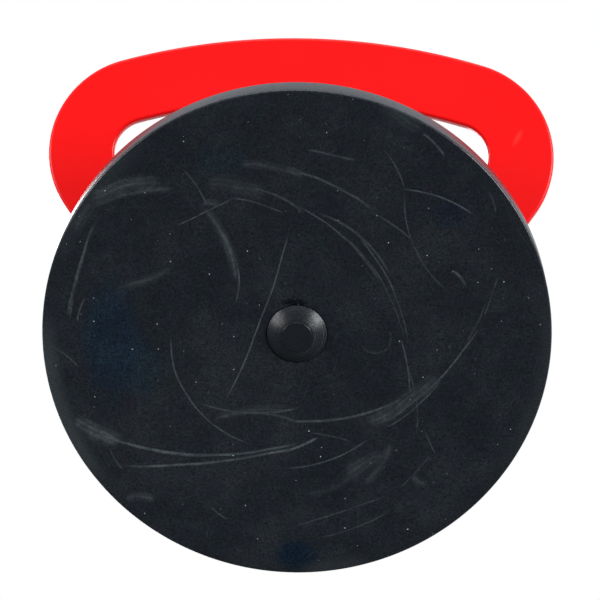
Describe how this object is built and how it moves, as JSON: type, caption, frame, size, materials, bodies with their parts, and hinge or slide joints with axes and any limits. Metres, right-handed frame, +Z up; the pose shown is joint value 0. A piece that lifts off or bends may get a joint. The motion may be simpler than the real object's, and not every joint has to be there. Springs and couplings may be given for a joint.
{
  "type": "curling stone",
  "caption": "Black curling stone with a gloss-dished running disc and a wide flat red loop handle that swings over the top.",
  "frame": {"origin": "centre of the running face, on the plane that meets the ice", "axes": "+Z up from the running face, +X along the handle's pivot axis, +Y towards the side the handle leans to"},
  "size_m": [0.2084, 0.2, 0.1118],
  "materials": {
    "disc_gloss": "polished, scuffed",
    "cap_plastic": "satin",
    "shell_plastic": "satin moulded",
    "handle_red": "smooth satin",
    "cap_red": "smooth satin",
    "zinc_steel": "zinc plated",
    "spring_steel": "oiled",
    "ballast_iron": "raw",
    "insert_brass": "machined",
    "rubber_black": "matt",
    "bush_nylon": "turned"
  },
  "bodies": {
    "stone": {"running_disc": "disc_gloss", "centre_cap": "cap_plastic", "centre_bolt": "zinc_steel", "bolt_washer": "zinc_steel", "packing_ring": "rubber_black", "ballast_plate": "ballast_iron", "seal_ring": "rubber_black", "top_shell": "shell_plastic", "top_washer": "zinc_steel", "top_nut": "zinc_steel", "top_cap": "cap_red", "thread_inserts": "insert_brass", "bracket_screws": "zinc_steel", "left_bracket": "zinc_steel", "right_bracket": "zinc_steel", "left_pivot_bolt": "zinc_steel", "right_pivot_bolt": "zinc_steel", "left_pivot_washer": "zinc_steel", "right_pivot_washer": "zinc_steel", "left_pivot_nut": "zinc_steel", "right_pivot_nut": "zinc_steel", "left_wave_washer": "spring_steel", "right_wave_washer": "spring_steel", "handle_bumpers": "rubber_black"},
    "handle": {"handle": "handle_red", "left_bushes": "bush_nylon", "right_bushes": "bush_nylon"}
  },
  "joints": [
    {"name": "handle_hinge", "type": "hinge", "parent": "stone", "child": "handle", "pos_m": [0, 0, 0.055], "axis": [1, 0, 0], "range_deg": [-30, 150]}
  ]
}
